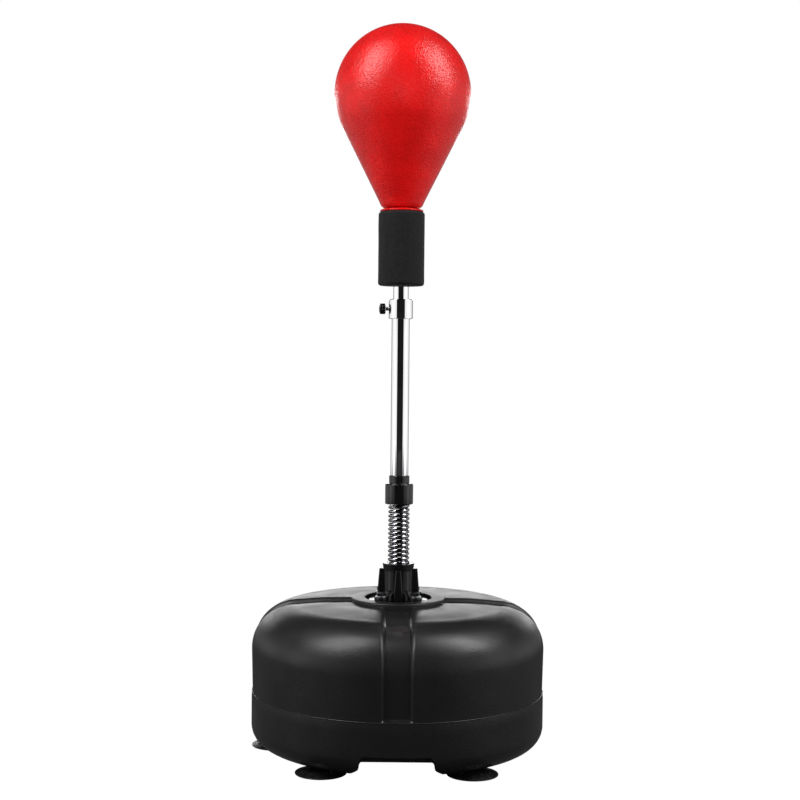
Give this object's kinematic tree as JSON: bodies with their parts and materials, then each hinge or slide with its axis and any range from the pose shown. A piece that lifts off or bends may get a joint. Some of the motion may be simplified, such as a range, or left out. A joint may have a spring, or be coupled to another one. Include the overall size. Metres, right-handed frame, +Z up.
{
  "type": "free-standing boxing ball",
  "caption": "Round fillable base on suction cups, a coil spring, a telescopic pole with a clamp screw, a foam sleeve and a pear-shaped punching ball.",
  "frame": {"origin": "on the floor, under the pole's axis, at the middle of the base", "axes": "+Z up along the pole, -Y towards the front with the grip notch, -X the side with the clamp screw"},
  "size_m": [0.457, 0.457, 1.1294],
  "materials": {
    "base_plastic": "satin",
    "gloss_black_plastic": "gloss",
    "chrome_plate": "polished",
    "zinc_steel": "satin",
    "black_steel": "satin",
    "brass": "satin",
    "black_rubber": "matte",
    "sleeve_foam": "matte",
    "red_leatherette": "satin",
    "latex": "satin"
  },
  "bodies": {
    "base": {"base_shell": "base_plastic", "suction_cup_1": "black_rubber", "suction_cup_2": "black_rubber", "suction_cup_3": "black_rubber", "suction_cup_4": "black_rubber", "suction_cup_5": "black_rubber", "spring_socket": "gloss_black_plastic", "socket_gasket": "black_rubber", "socket_bolt_1": "black_steel", "socket_washer_1": "zinc_steel", "socket_insert_1": "brass", "socket_bolt_2": "black_steel", "socket_washer_2": "zinc_steel", "socket_insert_2": "brass", "socket_bolt_3": "black_steel", "socket_washer_3": "zinc_steel", "socket_insert_3": "brass", "socket_bolt_4": "black_steel", "socket_washer_4": "zinc_steel", "socket_insert_4": "brass", "spring_bolt": "zinc_steel", "lower_spring_plug": "zinc_steel"},
    "filler": {"filler_cap": "base_plastic", "filler_seal": "black_rubber"},
    "spring": {"coil_spring": "chrome_plate"},
    "pole": {"spring_collar": "gloss_black_plastic", "upper_spring_plug": "zinc_steel", "tube_plug": "zinc_steel", "lower_tube": "chrome_plate", "clamp_collar": "chrome_plate"},
    "clamp_pad_carrier": {"clamp_pad": "brass"},
    "clamp_screw_turning": {"clamp_screw": "zinc_steel", "clamp_knob": "gloss_black_plastic"},
    "head": {"upper_tube": "chrome_plate", "tube_end_plug": "base_plastic", "tube_top_nut": "zinc_steel", "foam_sleeve": "sleeve_foam", "ball_skirt_ring": "red_leatherette", "ball_mount_disc": "base_plastic", "ball_stud": "zinc_steel", "ball_skin": "red_leatherette", "ball_bladder": "latex", "bladder_valve": "black_rubber"}
  },
  "joints": [
    {"name": "sway_side", "type": "hinge", "parent": "base", "child": "spring", "pos_m": [0, 0, 0.3132], "axis": [0, 1, 0], "range_deg": [-40, 40], "stiffness_Nm_per_rad": 60, "deforming": ["coil_spring"]},
    {"name": "sway_front", "type": "hinge", "parent": "spring", "child": "pole", "pos_m": [0, 0, 0.3596], "axis": [1, 0, 0], "range_deg": [-40, 40], "stiffness_Nm_per_rad": 60, "deforming": ["coil_spring"]},
    {"name": "height_adjust", "type": "slide", "parent": "pole", "child": "head", "axis": [0, 0, 1], "range_m": [-0.016, 0.18]},
    {"name": "clamp_travel", "type": "slide", "parent": "pole", "child": "clamp_pad_carrier", "axis": [-1, 0, 0], "range_m": [0, 0.0015]},
    {"name": "clamp_turn", "type": "hinge", "parent": "clamp_pad_carrier", "child": "clamp_screw_turning", "pos_m": [-0.0165, 0, 0.6881], "axis": [-1, 0, 0], "range_deg": [0, 540]},
    {"name": "filler_lift", "type": "slide", "parent": "base", "child": "filler", "axis": [0, 0, 1], "range_m": [0, 0.06]}
  ],
  "couplings": [
    {"joint": "clamp_turn", "follows": "clamp_travel", "rad_per_m": 6283.2}
  ]
}
